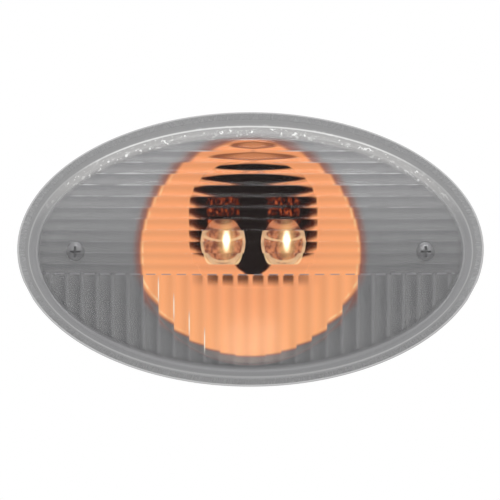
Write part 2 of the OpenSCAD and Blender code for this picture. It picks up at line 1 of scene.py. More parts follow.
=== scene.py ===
# Oval marker lamp for a truck hood, lit amber, seen from the front on white.
# The lamp stands in the row frame: x to the right, z up, and the lens faces -y.
import json
import math

import bmesh
import bpy
from mathutils import Matrix, Vector


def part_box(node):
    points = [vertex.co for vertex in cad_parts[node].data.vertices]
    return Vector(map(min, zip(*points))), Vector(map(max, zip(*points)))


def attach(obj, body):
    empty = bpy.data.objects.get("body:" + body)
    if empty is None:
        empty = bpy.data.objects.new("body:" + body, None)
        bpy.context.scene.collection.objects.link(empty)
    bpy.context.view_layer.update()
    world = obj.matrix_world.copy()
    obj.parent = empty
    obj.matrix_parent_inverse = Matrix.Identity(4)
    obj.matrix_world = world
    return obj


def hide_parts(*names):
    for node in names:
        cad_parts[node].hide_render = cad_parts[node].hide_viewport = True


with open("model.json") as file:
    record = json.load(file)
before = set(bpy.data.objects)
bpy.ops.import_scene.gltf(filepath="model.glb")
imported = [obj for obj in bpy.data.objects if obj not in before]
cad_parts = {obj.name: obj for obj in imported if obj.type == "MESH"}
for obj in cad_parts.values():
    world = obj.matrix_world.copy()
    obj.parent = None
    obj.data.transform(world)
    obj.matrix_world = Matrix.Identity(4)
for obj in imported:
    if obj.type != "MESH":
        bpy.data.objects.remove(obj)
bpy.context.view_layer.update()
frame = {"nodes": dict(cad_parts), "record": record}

# The code below measures in millimetres on the lamp's face: x along it, up, and height over the hood.
mm = 0.001
unit = 1 / mm
lensLow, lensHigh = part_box("outer_lens")
studLow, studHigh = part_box("stud_left")
lensHalfWidth = -lensLow.x * unit
lensHalfHeight = lensHigh.z * unit


def place(x, up, height):
    return Vector((x * mm, -height * mm, up * mm))


# Node trees

def addNode(tree, kind, **settings):
    node = tree.nodes.new(kind)
    for key, value in settings.items():
        setattr(node, key, value)
    return node


def feed(tree, socket, value):
    if isinstance(value, bpy.types.NodeSocket):
        tree.links.new(value, socket)
    else:
        socket.default_value = value


def setInputs(tree, node, values):
    # Feeds inputs, by name or number, with plain values or other nodes' outputs
    for name, value in values.items():
        feed(tree, node.inputs[name], value)


def wire(tree, kind, values, **settings):
    # Adds a node with its inputs fed, and gives its first output
    node = addNode(tree, kind, **settings)
    setInputs(tree, node, values)
    return node.outputs[0]


def calc(tree, operation, *values):
    node = addNode(tree, "ShaderNodeMath", operation=operation)
    for socket, value in zip(node.inputs, values):
        feed(tree, socket, value)
    return node.outputs[0]


def plus(tree, first, second):
    return calc(tree, "ADD", first, second)


def minus(tree, first, second):
    return calc(tree, "SUBTRACT", first, second)


def ratio(tree, first, second):
    return calc(tree, "DIVIDE", first, second)


def absolute(tree, value):
    return calc(tree, "ABSOLUTE", value)


def times(tree, first, *others):
    for other in others:
        first = calc(tree, "MULTIPLY", first, other)
    return first


def largest(tree, first, *others):
    for other in others:
        first = calc(tree, "MAXIMUM", first, other)
    return first


def between(tree, share, first, second):
    # first where share is 0, and second where it is 1
    return calc(tree, "MULTIPLY_ADD", minus(tree, second, first), share, first)


def fade(tree, value, start, end):
    # A smooth step from 0 at start to 1 at end
    values = {"Value": value, "From Min": start, "From Max": end}
    return wire(tree, "ShaderNodeMapRange", values, interpolation_type="SMOOTHSTEP")


def blendColours(tree, share, first, second):
    node = addNode(tree, "ShaderNodeMix", data_type="RGBA")
    setInputs(tree, node, {0: share, 6: first, 7: second})
    return node.outputs[2]


def axesOf(tree, vector):
    parts = addNode(tree, "ShaderNodeSeparateXYZ")
    tree.links.new(vector, parts.inputs[0])
    return list(parts.outputs)


def sRgb(red, green, blue):
    # A colour as the photo shows it, in the linear values that a material takes
    shares = [channel / 255 for channel in (red, green, blue)]
    return [s / 12.92 if s <= 0.04045 else ((s + 0.055) / 1.055) ** 2.4 for s in shares] + [1]


def newMaterial(name):
    material = bpy.data.materials.new(name)
    material.use_nodes = True
    return material, material.node_tree, material.node_tree.nodes["Principled BSDF"]


def objectPoint(tree):
    # Places on the lamp, in millimetres: x, y and z sockets, and the vector itself
    point = addNode(tree, "ShaderNodeTexCoord").outputs["Object"]
    scaled = wire(tree, "ShaderNodeVectorMath", {0: point, "Scale": unit}, operation="SCALE")
    return *axesOf(tree, scaled), scaled


def objectNormal(tree):
    return axesOf(tree, addNode(tree, "ShaderNodeTexCoord").outputs["Normal"])


def radiusOf(tree, x, z):
    return calc(tree, "SQRT", plus(tree, times(tree, x, x), times(tree, z, z)))


def ovalRadius(tree, x, z, halfWidth, halfHeight):
    # Distance from the middle of an oval as a share: 1 on its edge
    return radiusOf(tree, ratio(tree, x, halfWidth), ratio(tree, z, halfHeight))


def noise(tree, vector, scale, detail=3.0):
    return wire(tree, "ShaderNodeTexNoise", {"Vector": vector, "Scale": scale, "Detail": detail})


def patchesOf(tree, vector, pattern):
    # Soft patches: noise per mm, its detail, and the values at which a patch starts and is full
    scale, detail, start, end = pattern
    return fade(tree, noise(tree, vector, scale, detail), start, end)


def addBump(tree, shader, height, strength, distance):
    values = {"Height": height, "Strength": strength, "Distance": distance * mm}
    tree.links.new(wire(tree, "ShaderNodeBump", values), shader.inputs["Normal"])


def addGrain(tree, shader, vector, grain):
    # Slight unevenness: noise per mm, strength, and how far it stands out in mm
    scale, strength, distance = grain
    addBump(tree, shader, noise(tree, vector, scale), strength, distance)


# Finishes of the plain pieces: colour, roughness, metal, grain per mm, how far the grain stands out in mm,
# and how much the colour and the roughness vary with it
finishes = {
    "sealant": ((0.30, 0.30, 0.30), 0.55, 0.0, 1.2, 0.05, 0.06),
    "housing_plastic": ((0.36, 0.36, 0.365), 0.5, 0.0, 6.0, 0.02, 0.08),
    "zinc_steel": ((0.56, 0.57, 0.60), 0.28, 1.0, 2.5, 0.004, 0.18),
    "board_mask": ((0.78, 0.79, 0.77), 0.35, 0.0, 0.6, 0.01, 0.04),
    "spreader_aluminium": ((0.70, 0.71, 0.73), 0.32, 1.0, 3.0, 0.004, 0.12),
    "chip_plastic": ((0.02, 0.02, 0.022), 0.5, 0.0, 8.0, 0.01, 0.2),
    "coil_ferrite": ((0.05, 0.05, 0.055), 0.42, 0.0, 5.0, 0.02, 0.3),
    "can_aluminium": ((0.72, 0.72, 0.74), 0.25, 1.0, 3.0, 0.003, 0.1),
    "satin_screw": ((0.17, 0.17, 0.173), 0.6, 0.4, 2.5, 0.01, 0.12),
    "pin_metal": ((0.74, 0.70, 0.60), 0.22, 1.0, 4.0, 0.002, 0.1),
    "potting": ((0.03, 0.027, 0.024), 0.3, 0.0, 0.9, 0.05, 0.2),
    "membrane": ((0.82, 0.82, 0.82), 0.8, 0.0, 9.0, 0.02, 0.06),
    "gasket_foam": ((0.018, 0.018, 0.019), 0.85, 0.0, 3.2, 0.12, 0.5),
}
grainStrength = 0.6


def makeFinish(name):
    colour, roughness, metal, grain, stand, spread = finishes[name]
    material, tree, shader = newMaterial(name)
    pattern = noise(tree, objectPoint(tree)[3], grain)
    darker = [channel * (1 - spread) for channel in colour] + [1]
    lighter = [min(1, channel * (1 + spread)) for channel in colour] + [1]
    setInputs(tree, shader, {
        "Base Color": blendColours(tree, pattern, darker, lighter),
        "Roughness": between(tree, pattern, roughness * (1 - spread / 2), roughness * (1 + spread / 2)),
        "Metallic": metal,
    })
    addBump(tree, shader, pattern, grainStrength, stand)
    return material


# Flutes: level above the split and upright below it, in millimetres. seenFrom is where a flute's picture
# starts, as a share of the pitch, and drawnTogether how much the flutes bend an outline behind them.

fluteSizes = {
    "rowPitch": 3.33,
    "columnPitch": 4.54,
    "rise": 0.36,
    "split": -6.7,
    "inset": 7.2,
    "land": 0.6,
    "seenFrom": 0.02,
    "drawnTogether": 0.35,
}


def offMiddle(tree, along, pitch):
    # Place across a flute, as a share of the pitch: 0 in its middle, -0.5 and 0.5 on its edges
    return minus(tree, calc(tree, "FRACT", ratio(tree, along, pitch)), 0.5)


def offCusp(tree, along, pitch):
    # Distance from the nearest line between two flutes, as a share of the pitch: 0 to 0.5
    return minus(tree, 0.5, absolute(tree, offMiddle(tree, along, pitch)))


def overSplit(tree, z):
    return minus(tree, z, fluteSizes["split"])


def seenInFlute(tree, along, pitch):
    # 0 at the edges of a flute, and 1 in its middle
    return fade(tree, offCusp(tree, along, pitch), fluteSizes["seenFrom"], 0.5)


def seenInRow(tree, z):
    return seenInFlute(tree, overSplit(tree, z), fluteSizes["rowPitch"])


def towardsMiddle(tree, along, pitch):
    # Moves a place part of the way to the middle of its flute
    moved = times(tree, offMiddle(tree, along, pitch), pitch * fluteSizes["drawnTogether"])
    return minus(tree, along, moved)


def flutedPlace(tree, x, z):
    # x and z as the flutes in front of them draw them together
    split = fluteSizes["split"]
    below = calc(tree, "LESS_THAN", z, split)
    columns = towardsMiddle(tree, x, fluteSizes["columnPitch"])
    rows = plus(tree, towardsMiddle(tree, overSplit(tree, z), fluteSizes["rowPitch"]), split)
    return between(tree, below, x, columns), between(tree, below, rows, z)


# Lens material. Here and in the looks below, a pair of numbers is where a change starts and where it ends,
# in millimetres or as a share, and names that end in Show say how strongly a thing shows.

lensLook = {
    "ior": 1.1,
    "coat": 0.06,
    "roughness": 0.01,
    "tint": (0.98, 0.98, 0.98, 1),
    # Painted shade on one side of each flute
    "shade": (0.74, 0.74, 0.75, 1),
    # Painted highlight lines between the flutes
    "line": (0.72, 0.72, 0.73, 1),
    "rowWidth": 0.06,
    "rowUp": (9.0, 25.0),
    "rowShow": (0.08, 1.0),
    "patches": (0.09, 3.0, 0.35, 0.62),
    "columnWidth": 0.2,
    "columnShow": 0.07,
    "besideBowl": (30.5, 33.5),
    "besideShow": (0.25, 1.0),
    "sparkFrom": (-28.5, -9.5),
    "sparkTo": (-13.5, -26.5),
    "sparkOff": (5.0, 1.0),
    "sparkEnd": 1.0,
    "sparkColour": (1.0, 0.9, 0.7, 1),
    # Painted grey glow over the rim, lighter at the top
    "rimGlow": (0.275, 0.275, 0.28, 1),
    "topRimGlow": (0.42, 0.415, 0.41, 1),
    "wallRimGlow": (0.295, 0.295, 0.297, 1),
    "rimGlowUp": (4.0, 28.0),
    "rimGlowFaceOn": 0.4,
    "rimGlowGrazing": 0.45,
    "rimFrom": (0.985, 1.03),
    "wallFrom": (0.42, 0.5),
    # Painted sheen and sparkling highlights on the shoulder
    "shoulderFrom": (0.99, 1.02),
    "shoulderTo": (0.48, 0.40),
    "sheen": (0.56, 0.55, 0.545, 1),
    "sheenUp": (8.0, 26.0),
    "sheenShow": (0.4, 0.95),
    "highlightWhite": (0.95, 0.95, 0.94, 1),
    "sparkles": (0.7, 6.0, 0.57, 0.64),
    # Painted highlight along the seam between shoulder and wall
    "seamAt": 0.5,
    "seamOff": (0.05, 0.02),
    "seamHighlightUp": (22.0, 31.0),
    "seamHighlightShow": (0.2, 0.8),
    # Painted dark reflections in short dashes along the split
    "dash": (0.045, 0.03, 0.05, 1),
    "dashFoot": (0.1, 0.2),
    "dashTop": (0.55, 0.45),
    "dashInFlute": (0.16, 0.24),
    "dashShow": 0.7,
}


def lensPlaces(tree):
    # Where a point of the lens lies, and what the tree that made its flutes stored there
    x, _, z, vector = objectPoint(tree)
    at = {"x": x, "z": z, "vector": vector}
    for name in ("level", "upright", "wave", "rowCusp", "columnCusp"):
        at[name] = addNode(tree, "ShaderNodeAttribute", attribute_name=name).outputs["Fac"]
    return at


def fluteLines(tree, at):
    # Painted highlight lines between the flutes, bright at the top, faint lower down and over the lit bowl
    look = lensLook
    row = times(tree, fade(tree, at["rowCusp"], look["rowWidth"], 0.0), at["level"])
    upward = between(tree, fade(tree, at["z"], *look["rowUp"]), *look["rowShow"])
    patches = patchesOf(tree, at["vector"], look["patches"])
    column = times(tree, fade(tree, at["columnCusp"], look["columnWidth"], 0.0), at["upright"])
    lines = plus(tree, times(tree, row, upward, patches), times(tree, column, look["columnShow"]))
    beside = fade(tree, radiusOf(tree, at["x"], at["z"]), *look["besideBowl"])
    return times(tree, lines, between(tree, beside, *look["besideShow"]))


def lightStreaks(tree, at):
    # Streaks of the lamp's own light where the upright lines cross the low left side of the bowl
    look = lensLook
    (x0, z0), (x1, z1) = look["sparkFrom"], look["sparkTo"]
    slope = (z1 - z0) / (x1 - x0)
    offDiagonal = minus(tree, at["z"], calc(tree, "MULTIPLY_ADD", at["x"], slope, z0 - slope * x0))
    near = fade(tree, absolute(tree, offDiagonal), *look["sparkOff"])
    fromStart = fade(tree, at["x"], x0 - look["sparkEnd"], x0)
    toEnd = fade(tree, at["x"], x1 + look["sparkEnd"], x1)
    narrow = fade(tree, at["columnCusp"], look["rowWidth"], 0.0)
    return times(tree, narrow, at["upright"], near, fromStart, toEnd)


def rimPlaces(tree, at):
    # How far out a point lies, 1 on the edge of the flutes, and its share of the way from there to the edge
    inset = fluteSizes["inset"]
    overField = ovalRadius(tree, at["x"], at["z"], lensHalfWidth - inset, lensHalfHeight - inset)
    toEdge = minus(tree, 1.0, ovalRadius(tree, at["x"], at["z"], lensHalfWidth, lensHalfHeight))
    fromField = minus(tree, overField, 1.0)
    return overField, ratio(tree, fromField, plus(tree, fromField, toEdge))


def splitDashes(tree, at):
    # Painted dark reflections: short dark dashes over the tops of the upright flutes
    look = lensLook
    height = overSplit(tree, at["z"])
    band = times(tree, fade(tree, height, *look["dashFoot"]), fade(tree, height, *look["dashTop"]))
    inFlute = fade(tree, offCusp(tree, at["x"], fluteSizes["columnPitch"]), *look["dashInFlute"])
    return times(tree, inFlute, band, at["level"], look["dashShow"])


def makeLensMaterial():
    # Clear polycarbonate under a painted film of highlight lines, light streaks, a grey glow over the rim,
    # sheen, sparkles and dark reflections. Lights and soft light pass straight through it.
    look = lensLook
    material, tree, shader = newMaterial("lens_clear")
    at = lensPlaces(tree)
    # Painted shade: each flute is a little darker on one side
    darkSide = times(tree, largest(tree, at["level"], at["upright"]), between(tree, at["wave"], 0.5, 1.0))
    setInputs(tree, shader, {
        "Base Color": blendColours(tree, darkSide, look["tint"], look["shade"]),
        "Transmission Weight": 1,
        "IOR": look["ior"],
        "Roughness": look["roughness"],
        "Coat Weight": look["coat"],
    })
    # Painted grey glow over the shoulder, wall and flange, lighter at the top and stronger at grazing
    # angles
    overField, across = rimPlaces(tree, at)
    facing = addNode(tree, "ShaderNodeLayerWeight").outputs["Facing"]
    rimGlowStrength = calc(tree, "MULTIPLY_ADD", facing, look["rimGlowGrazing"], look["rimGlowFaceOn"])
    onRim = times(tree, fade(tree, overField, *look["rimFrom"]), rimGlowStrength)
    rimGlow = blendColours(tree, fade(tree, at["z"], *look["rimGlowUp"]), look["rimGlow"], look["topRimGlow"])
    rimGlow = blendColours(tree, fade(tree, across, *look["wallFrom"]), rimGlow, look["wallRimGlow"])
    # Painted sheen and sparkling highlights on the top of the shoulder
    onShoulder = times(
        tree,
        fade(tree, overField, *look["shoulderFrom"]),
        fade(tree, across, *look["shoulderTo"]),
        fade(tree, at["z"], *look["sheenUp"]))
    sparkles = patchesOf(tree, at["vector"], look["sparkles"])
    sheen = times(tree, onShoulder, between(tree, sparkles, *look["sheenShow"]))
    sheenColour = blendColours(tree, sparkles, look["sheen"], look["highlightWhite"])
    # Painted highlight: a thin bright line where the shoulder meets the wall, brightest at the top
    seamHighlight = fade(tree, absolute(tree, minus(tree, across, look["seamAt"])), *look["seamOff"])
    upward = between(tree, fade(tree, at["z"], *look["seamHighlightUp"]), *look["seamHighlightShow"])
    seamHighlight = times(tree, seamHighlight, upward)
    # The painted film has the colour of its last layer and the strength of its strongest
    lines = fluteLines(tree, at)
    spark = lightStreaks(tree, at)
    dash = splitDashes(tree, at)
    colour = blendColours(tree, spark, look["line"], look["sparkColour"])
    colour = blendColours(tree, calc(tree, "GREATER_THAN", onRim, 0.0), colour, rimGlow)
    for share, layer in ((sheen, sheenColour), (seamHighlight, look["highlightWhite"]), (dash, look["dash"])):
        colour = blendColours(tree, share, colour, layer)
    paintedLight = wire(tree, "ShaderNodeEmission", {"Color": colour})
    amount = largest(tree, lines, spark, onRim, sheen, seamHighlight, dash)
    withPaintedLight = wire(tree, "ShaderNodeMixShader", {0: amount, 1: shader.outputs[0], 2: paintedLight})
    path = addNode(tree, "ShaderNodeLightPath").outputs
    passing = largest(tree, path["Is Shadow Ray"], path["Is Diffuse Ray"])
    clear = wire(tree, "ShaderNodeBsdfTransparent", {})
    surface = wire(tree, "ShaderNodeMixShader", {0: passing, 1: withPaintedLight, 2: clear})
    tree.links.new(surface, tree.nodes["Material Output"].inputs["Surface"])
    return material


# Sizes of the LED insert that its reflections and its own materials share

insertSizes = {"middle": 0.8, "opticApart": 9.0, "opticUp": 2.6}


# Reflector material: satin grey panel painted lighter upwards, bowl and lip with a painted amber glow of
# the LEDs' light, and a dim painted glow on the panel round the lip

bowlLook = {
    "radius": 33.0,
    "lip": 32.3,
    "halo": 3.4,
    "roughness": 0.22,
    "metal": 0.85,
    "grain": (2.0, 0.02, 0.004),
    # Satin grey panel, painted lighter upwards as if lit from above
    "panel": (0.195, 0.195, 0.197, 1),
    "litHighPanel": (0.345, 0.345, 0.348, 1),
    "panelUp": (-10.0, 31.0),
    "waveScale": 0.2,
    "waveHeight": 6.0,
    "unlit": (0.016, 0.008, 0.005, 1),
    # Painted amber glow of the bowl, lighter towards its foot
    "top": sRgb(247, 160, 106),
    "bottom": sRgb(251, 172, 116),
    "deep": sRgb(247, 162, 110),
    "deepIn": (30.0, 12.0),
    "squash": (1.0, 1.055),
    "squashDown": (0.0, -20.0),
    # Glints on the lip, and the halo round it
    "lipColour": sRgb(255, 205, 150),
    "lipFrom": (-0.5, -0.3),
    "lipTo": (0.1, -0.1),
    "lipBeside": (27.0, 18.0),
    "glints": (0.5, 3.0, 0.35, 0.6),
    "haloColour": sRgb(146, 86, 72),
    "haloFrom": (-0.1, 0.9),
    # Painted grey glow on the low wall of the bowl
    "greyWallGlow": sRgb(113, 112, 112),
    "greyWallGlowFrom": (0.3, 1.2),
    "greyWallGlowTo": (0.8, 0.2),
    "greyWallGlowDown": (-8.0, -20.0),
    # Eyes that mirror the insert
    "brown": sRgb(112, 52, 30),
    "eyesFrom": (25.6, 26.4),
    "eyesTo": (33.5, 32.5),
    "eyeWidens": (32.0, 26.5),
    "eyeHalf": (6.5, 14.5),
    "eyeInFlute": (0.25, 1.0),
    "eyeEdge": (0.12, -0.12),
    "eyeRim": (-0.7, -0.2),
    "eyeShow": (0.4, 0.85),
    # Painted dark reflections on the tops of the upright flutes
    "tops": sRgb(66, 28, 18),
    "topsUp": (-4.6, -1.6),
    "topsEnd": (0.1, 0.0),
    "topsInFlute": (0.25, 0.6),
    "topsBeside": (21.0, 10.0),
    "topsShow": 0.85,
    "litHeight": (-8.0, -10.0),
    "litOutward": (0.35, 0.1),
    "litBackward": (0.1, 0.01),
}


def amberOf(tree, z, distance):
    # Painted amber glow of the lit bowl, lighter towards its foot and deeper near its floor
    look = bowlLook
    amber = blendColours(tree, fade(tree, z, -look["radius"], look["radius"]), look["bottom"], look["top"])
    return blendColours(tree, fade(tree, distance, *look["deepIn"]), amber, look["deep"])


def darkTops(tree, x, z, middle):
    # Painted dark reflections on the tops of the middle upright flutes, just under the split
    look = bowlLook
    height = overSplit(tree, z)
    under = times(tree, fade(tree, height, *look["topsUp"]), fade(tree, height, *look["topsEnd"]))
    inFlute = fade(tree, seenInFlute(tree, x, fluteSizes["columnPitch"]), *look["topsInFlute"])
    return times(tree, under, inFlute, fade(tree, middle, *look["topsBeside"]), look["topsShow"])


def brownEyes(tree, z, middle):
    # Brown reflections of the insert above it, an eye in each row
    look = bowlLook
    rows = times(tree, fade(tree, z, *look["eyesFrom"]), fade(tree, z, *look["eyesTo"]))
    half = between(tree, fade(tree, z, *look["eyeWidens"]), *look["eyeHalf"])
    inFlute = fade(tree, seenInRow(tree, z), *look["eyeInFlute"])
    off = minus(tree, ratio(tree, middle, half), calc(tree, "SQRT", inFlute))
    show = between(tree, fade(tree, off, *look["eyeRim"]), *look["eyeShow"])
    return times(tree, rows, fade(tree, off, *look["eyeEdge"]), show)


def litLip(tree, z, offLip, vector):
    # Glints on the lip at both sides of the bowl
    look = bowlLook
    beside = fade(tree, absolute(tree, z), *look["lipBeside"])
    onLip = times(tree, fade(tree, offLip, *look["lipFrom"]), fade(tree, offLip, *look["lipTo"]))
    return times(tree, onLip, beside, patchesOf(tree, vector, look["glints"]))


def litSide(tree, x, y, z):
    # Only the side of the moulding that faces the LEDs is lit
    look = bowlLook
    normalX, normalY, normalZ = objectNormal(tree)
    outward = plus(tree, times(tree, normalX, x), times(tree, normalZ, z))
    outward = ratio(tree, outward, radiusOf(tree, x, z))
    return times(
        tree,
        fade(tree, y, *look["litHeight"]),
        fade(tree, outward, *look["litOutward"]),
        fade(tree, normalY, *look["litBackward"]))


def makeReflectorMaterial():
    look = bowlLook
    material, tree, shader = newMaterial("metallised")
    x, y, z, vector = objectPoint(tree)
    seenX, seenZ = flutedPlace(tree, x, z)
    squash = between(tree, fade(tree, z, *look["squashDown"]), *look["squash"])
    distance = radiusOf(tree, seenX, times(tree, seenZ, squash))
    offLip = minus(tree, distance, look["lip"])
    middle = absolute(tree, minus(tree, x, insertSizes["middle"]))
    # Painted grey glow: under the lit disc the rest of the bowl's wall looks as grey as the panel
    offWall = minus(tree, radiusOf(tree, x, z), look["radius"])
    lowWall = times(tree, fade(tree, offWall, *look["greyWallGlowTo"]), fade(tree, z, *look["greyWallGlowDown"]))
    layers = (
        (brownEyes(tree, z, middle), look["brown"]),
        (darkTops(tree, x, z, middle), look["tops"]),
        (litLip(tree, z, offLip, vector), look["lipColour"]),
        (fade(tree, offLip, *look["haloFrom"]), look["haloColour"]),
        (times(tree, fade(tree, offLip, *look["greyWallGlowFrom"]), lowWall), look["greyWallGlow"]),
    )
    amber = amberOf(tree, z, distance)
    for share, layer in layers:
        amber = blendColours(tree, share, amber, layer)
    glow = largest(tree, fade(tree, offLip, look["halo"], 0.0), lowWall)
    # Painted light: the panel is lighter upwards, as if lit from above, in soft waves
    height = calc(tree, "MULTIPLY_ADD", noise(tree, vector, look["waveScale"]), look["waveHeight"], z)
    grey = blendColours(tree, fade(tree, height, *look["panelUp"]), look["panel"], look["litHighPanel"])
    setInputs(tree, shader, {
        "Base Color": blendColours(tree, glow, grey, look["unlit"]),
        "Metallic": look["metal"],
        "Roughness": look["roughness"],
        "Emission Color": amber,
        "Emission Strength": times(tree, glow, litSide(tree, x, y, z)),
    })
    addGrain(tree, shader, vector, look["grain"])
    return material


# LED insert materials

holderLook = {
    "black": sRgb(16, 10, 9),
    # Painted brownish shade at the edges of the dark shape and over the optic cups
    "edge": sRgb(84, 38, 24),
    "roughness": 0.3,
    "gloss": 0.03,
    "grain": (1.5, 0.2, 0.01),
    "footHalf": 5.0,
    "halfWidth": 18.6,
    "footUp": (-5.0, -0.5),
    "topDown": (27.5, 16.0),
    "topShare": (0.58, 1.0),
    # Eyes in each row, which join up downwards
    "joinDown": (24.0, 12.0),
    "joinPower": 0.6,
    "closeUp": (18.5, 24.5),
    "closed": 0.45,
    "swellPower": 0.65,
    "swell": (-0.12, 1.0),
    "cuspUp": (-3.6, -3.2),
    "cuspShare": (0.48, 0.84),
    "wobbleScale": 0.5,
    "wobble": (-0.06, 0.06),
    "end": (-6.6, -6.8),
    "pastEnd": 2.0,
    # Painted shade at the edges of the dark shape, and a painted brown ring round them
    "darkTo": (-0.14, 0.02),
    "amberFrom": (-0.02, 0.16),
    "ringFrom": (0.16, 0.26),
    "ringTo": (0.42, 0.3),
    "ringUp": (8.0, 14.0),
    "ringShow": 0.4,
    # Cup corners painted with the optics' glow and a bright rim
    "cupHalf": (6.15, 6.5),
    "cupPower": 4.0,
    "cupEdge": (1.06, 0.96),
    "cupDown": (-1.5, -2.5),
    "cupRim": (0.66, 0.86),
    "cupShow": 0.8,
    # Red reflections over the optics
    "ember": sRgb(112, 34, 16),
    "emberLight": sRgb(206, 96, 50),
    "emberBeside": (5.2, 4.2),
    "emberInRow": (0.2, 0.4),
    "emberTop": (16.4, 14.6),
    "emberFoot": (5.0, 8.0),
    "emberScale": 1.3,
    "emberDetail": 4.0,
    "emberGrains": (0.42, 0.62),
    "emberLights": (0.52, 0.72),
    "litHeight": (-8.6, -9.6),
    "litFacing": (-0.05, -0.3),
}
opticLook = {
    "base": sRgb(60, 26, 12),
    # Colours of the optic's painted glow, its darker mottles and painted highlights
    "body": sRgb(216, 134, 84),
    "dark": sRgb(126, 60, 32),
    "bright": sRgb(255, 216, 164),
    "core": sRgb(255, 250, 222),
    "glow": sRgb(255, 206, 132),
    "transmission": 0.2,
    "ior": 1.49,
    "roughness": 0.08,
    "grain": (2.0, 0.1, 0.01),
    "mottle": (1.1, 6.0, 0.38, 0.62),
    "overCup": (3.2, 3.8),
    "overCupShow": 0.75,
    "cup": (3.7, 3.2),
    "rim": (5.6, 6.2),
    # Painted rings of light: height, half width, half height and line
    "crescent": (6.6, 4.6, 1.9, 0.42),
    "mouth": (2.2, 5.9, 1.3, 0.22),
    "foot": (-3.6, 5.0, 1.9, 0.2),
    "footDown": (-3.6, -4.2),
    "brightShow": 0.75,
    "ringCore": 0.3,
    "streakAt": (1.0, 0.4),
    "streakHalf": (1.5, 3.4),
    "glowIn": (2.2, 0.6),
    "glowShow": 0.75,
    "coreIn": (1.1, 0.25),
    "strength": (0.75, 2.35),
}
ledLook = {"colour": sRgb(250, 196, 110), "roughness": 0.35, "scale": 3.0, "strength": (3.0, 3.6)}


def besideShape(tree, z, middle, vector):
    # How far outside the insert's dark shape a point lies, as a share of its half width there. The shape is
    # full beside the optics, less at the top and narrow below them. In each row it is an eye with pointed
    # ends, and the eyes join up lower down.
    look = holderLook
    half = times(
        tree,
        between(tree, fade(tree, z, *look["footUp"]), look["footHalf"], look["halfWidth"]),
        between(tree, fade(tree, z, *look["topDown"]), *look["topShare"]))
    closed = times(tree, fade(tree, z, *look["closeUp"]), look["closed"])
    opened = ratio(tree, minus(tree, seenInRow(tree, z), closed), minus(tree, 1.0, closed))
    swell = calc(tree, "POWER", largest(tree, opened, 0.0), look["swellPower"])
    joined = calc(tree, "POWER", fade(tree, z, *look["joinDown"]), look["joinPower"])
    atCusp = times(tree, joined, between(tree, fade(tree, z, *look["cuspUp"]), *look["cuspShare"]))
    edge = between(tree, between(tree, swell, *look["swell"]), atCusp, 1.0)
    wobble = between(tree, noise(tree, vector, look["wobbleScale"]), *look["wobble"])
    beside = plus(tree, minus(tree, ratio(tree, middle, half), edge), wobble)
    return plus(tree, beside, times(tree, fade(tree, z, *look["end"]), look["pastEnd"]))


def cupCorners(tree, beside, under):
    # Lower corners of the cups beside the round optics, painted with the optics' glow and a bright rim:
    # where they are, and their colour
    look = holderLook
    shares = [
        calc(tree, "POWER", ratio(tree, absolute(tree, off), half), look["cupPower"])
        for off, half in zip((beside, under), look["cupHalf"])
    ]
    square = plus(tree, *shares)
    corner = times(tree, fade(tree, square, *look["cupEdge"]), fade(tree, under, *look["cupDown"]))
    lit = blendColours(tree, fade(tree, square, *look["cupRim"]), opticLook["body"], opticLook["bright"])
    return times(tree, corner, look["cupShow"]), lit


def redEmbers(tree, z, beside, vector):
    # Dim red reflections of the optics in the rows over them: where they are, and their colour
    look = holderLook
    grains = noise(tree, vector, look["emberScale"], look["emberDetail"])
    ember = times(
        tree,
        fade(tree, beside, *look["emberBeside"]),
        fade(tree, seenInRow(tree, z), *look["emberInRow"]),
        fade(tree, z, *look["emberTop"]),
        fade(tree, z, *look["emberFoot"]),
        fade(tree, grains, *look["emberGrains"]))
    lights = fade(tree, grains, *look["emberLights"])
    return ember, blendColours(tree, lights, look["ember"], look["emberLight"])


def makeHolderMaterial():
    # Polished black, with the bowl's amber mirrored beside a dark shape, as the lit lamp shows it
    look = holderLook
    material, tree, shader = newMaterial("holder_plastic")
    x, y, z, vector = objectPoint(tree)
    middle = absolute(tree, minus(tree, x, insertSizes["middle"]))
    off = besideShape(tree, z, middle, vector)
    ring = times(
        tree,
        fade(tree, off, *look["ringFrom"]),
        fade(tree, off, *look["ringTo"]),
        fade(tree, z, *look["ringUp"]),
        look["ringShow"])
    amber = blendColours(tree, ring, amberOf(tree, z, radiusOf(tree, x, z)), bowlLook["brown"])
    amber = blendColours(tree, darkTops(tree, x, z, middle), amber, bowlLook["tops"])
    dark = blendColours(tree, fade(tree, off, *look["darkTo"]), look["black"], look["edge"])
    colour = blendColours(tree, fade(tree, off, *look["amberFrom"]), dark, amber)
    beside = absolute(tree, minus(tree, middle, insertSizes["opticApart"]))
    corner, lit = cupCorners(tree, beside, minus(tree, z, insertSizes["opticUp"]))
    colour = blendColours(tree, corner, colour, lit)
    ember, emberColour = redEmbers(tree, z, beside, vector)
    facing = fade(tree, objectNormal(tree)[1], *look["litFacing"])
    setInputs(tree, shader, {
        "Base Color": look["black"],
        "Roughness": look["roughness"],
        "Specular IOR Level": look["gloss"],
        "Emission Color": blendColours(tree, ember, colour, emberColour),
        "Emission Strength": times(tree, fade(tree, y, *look["litHeight"]), facing),
    })
    addGrain(tree, shader, vector, look["grain"])
    return material


def ringOf(tree, across, over, ring):
    # Soft oval ring of painted light: height of its middle, half width, half height, and half width of its
    # line as a share
    height, halfWidth, halfHeight, line = ring
    share = ovalRadius(tree, across, minus(tree, over, height), halfWidth, halfHeight)
    return fade(tree, absolute(tree, minus(tree, share, 1.0)), line, line * opticLook["ringCore"])


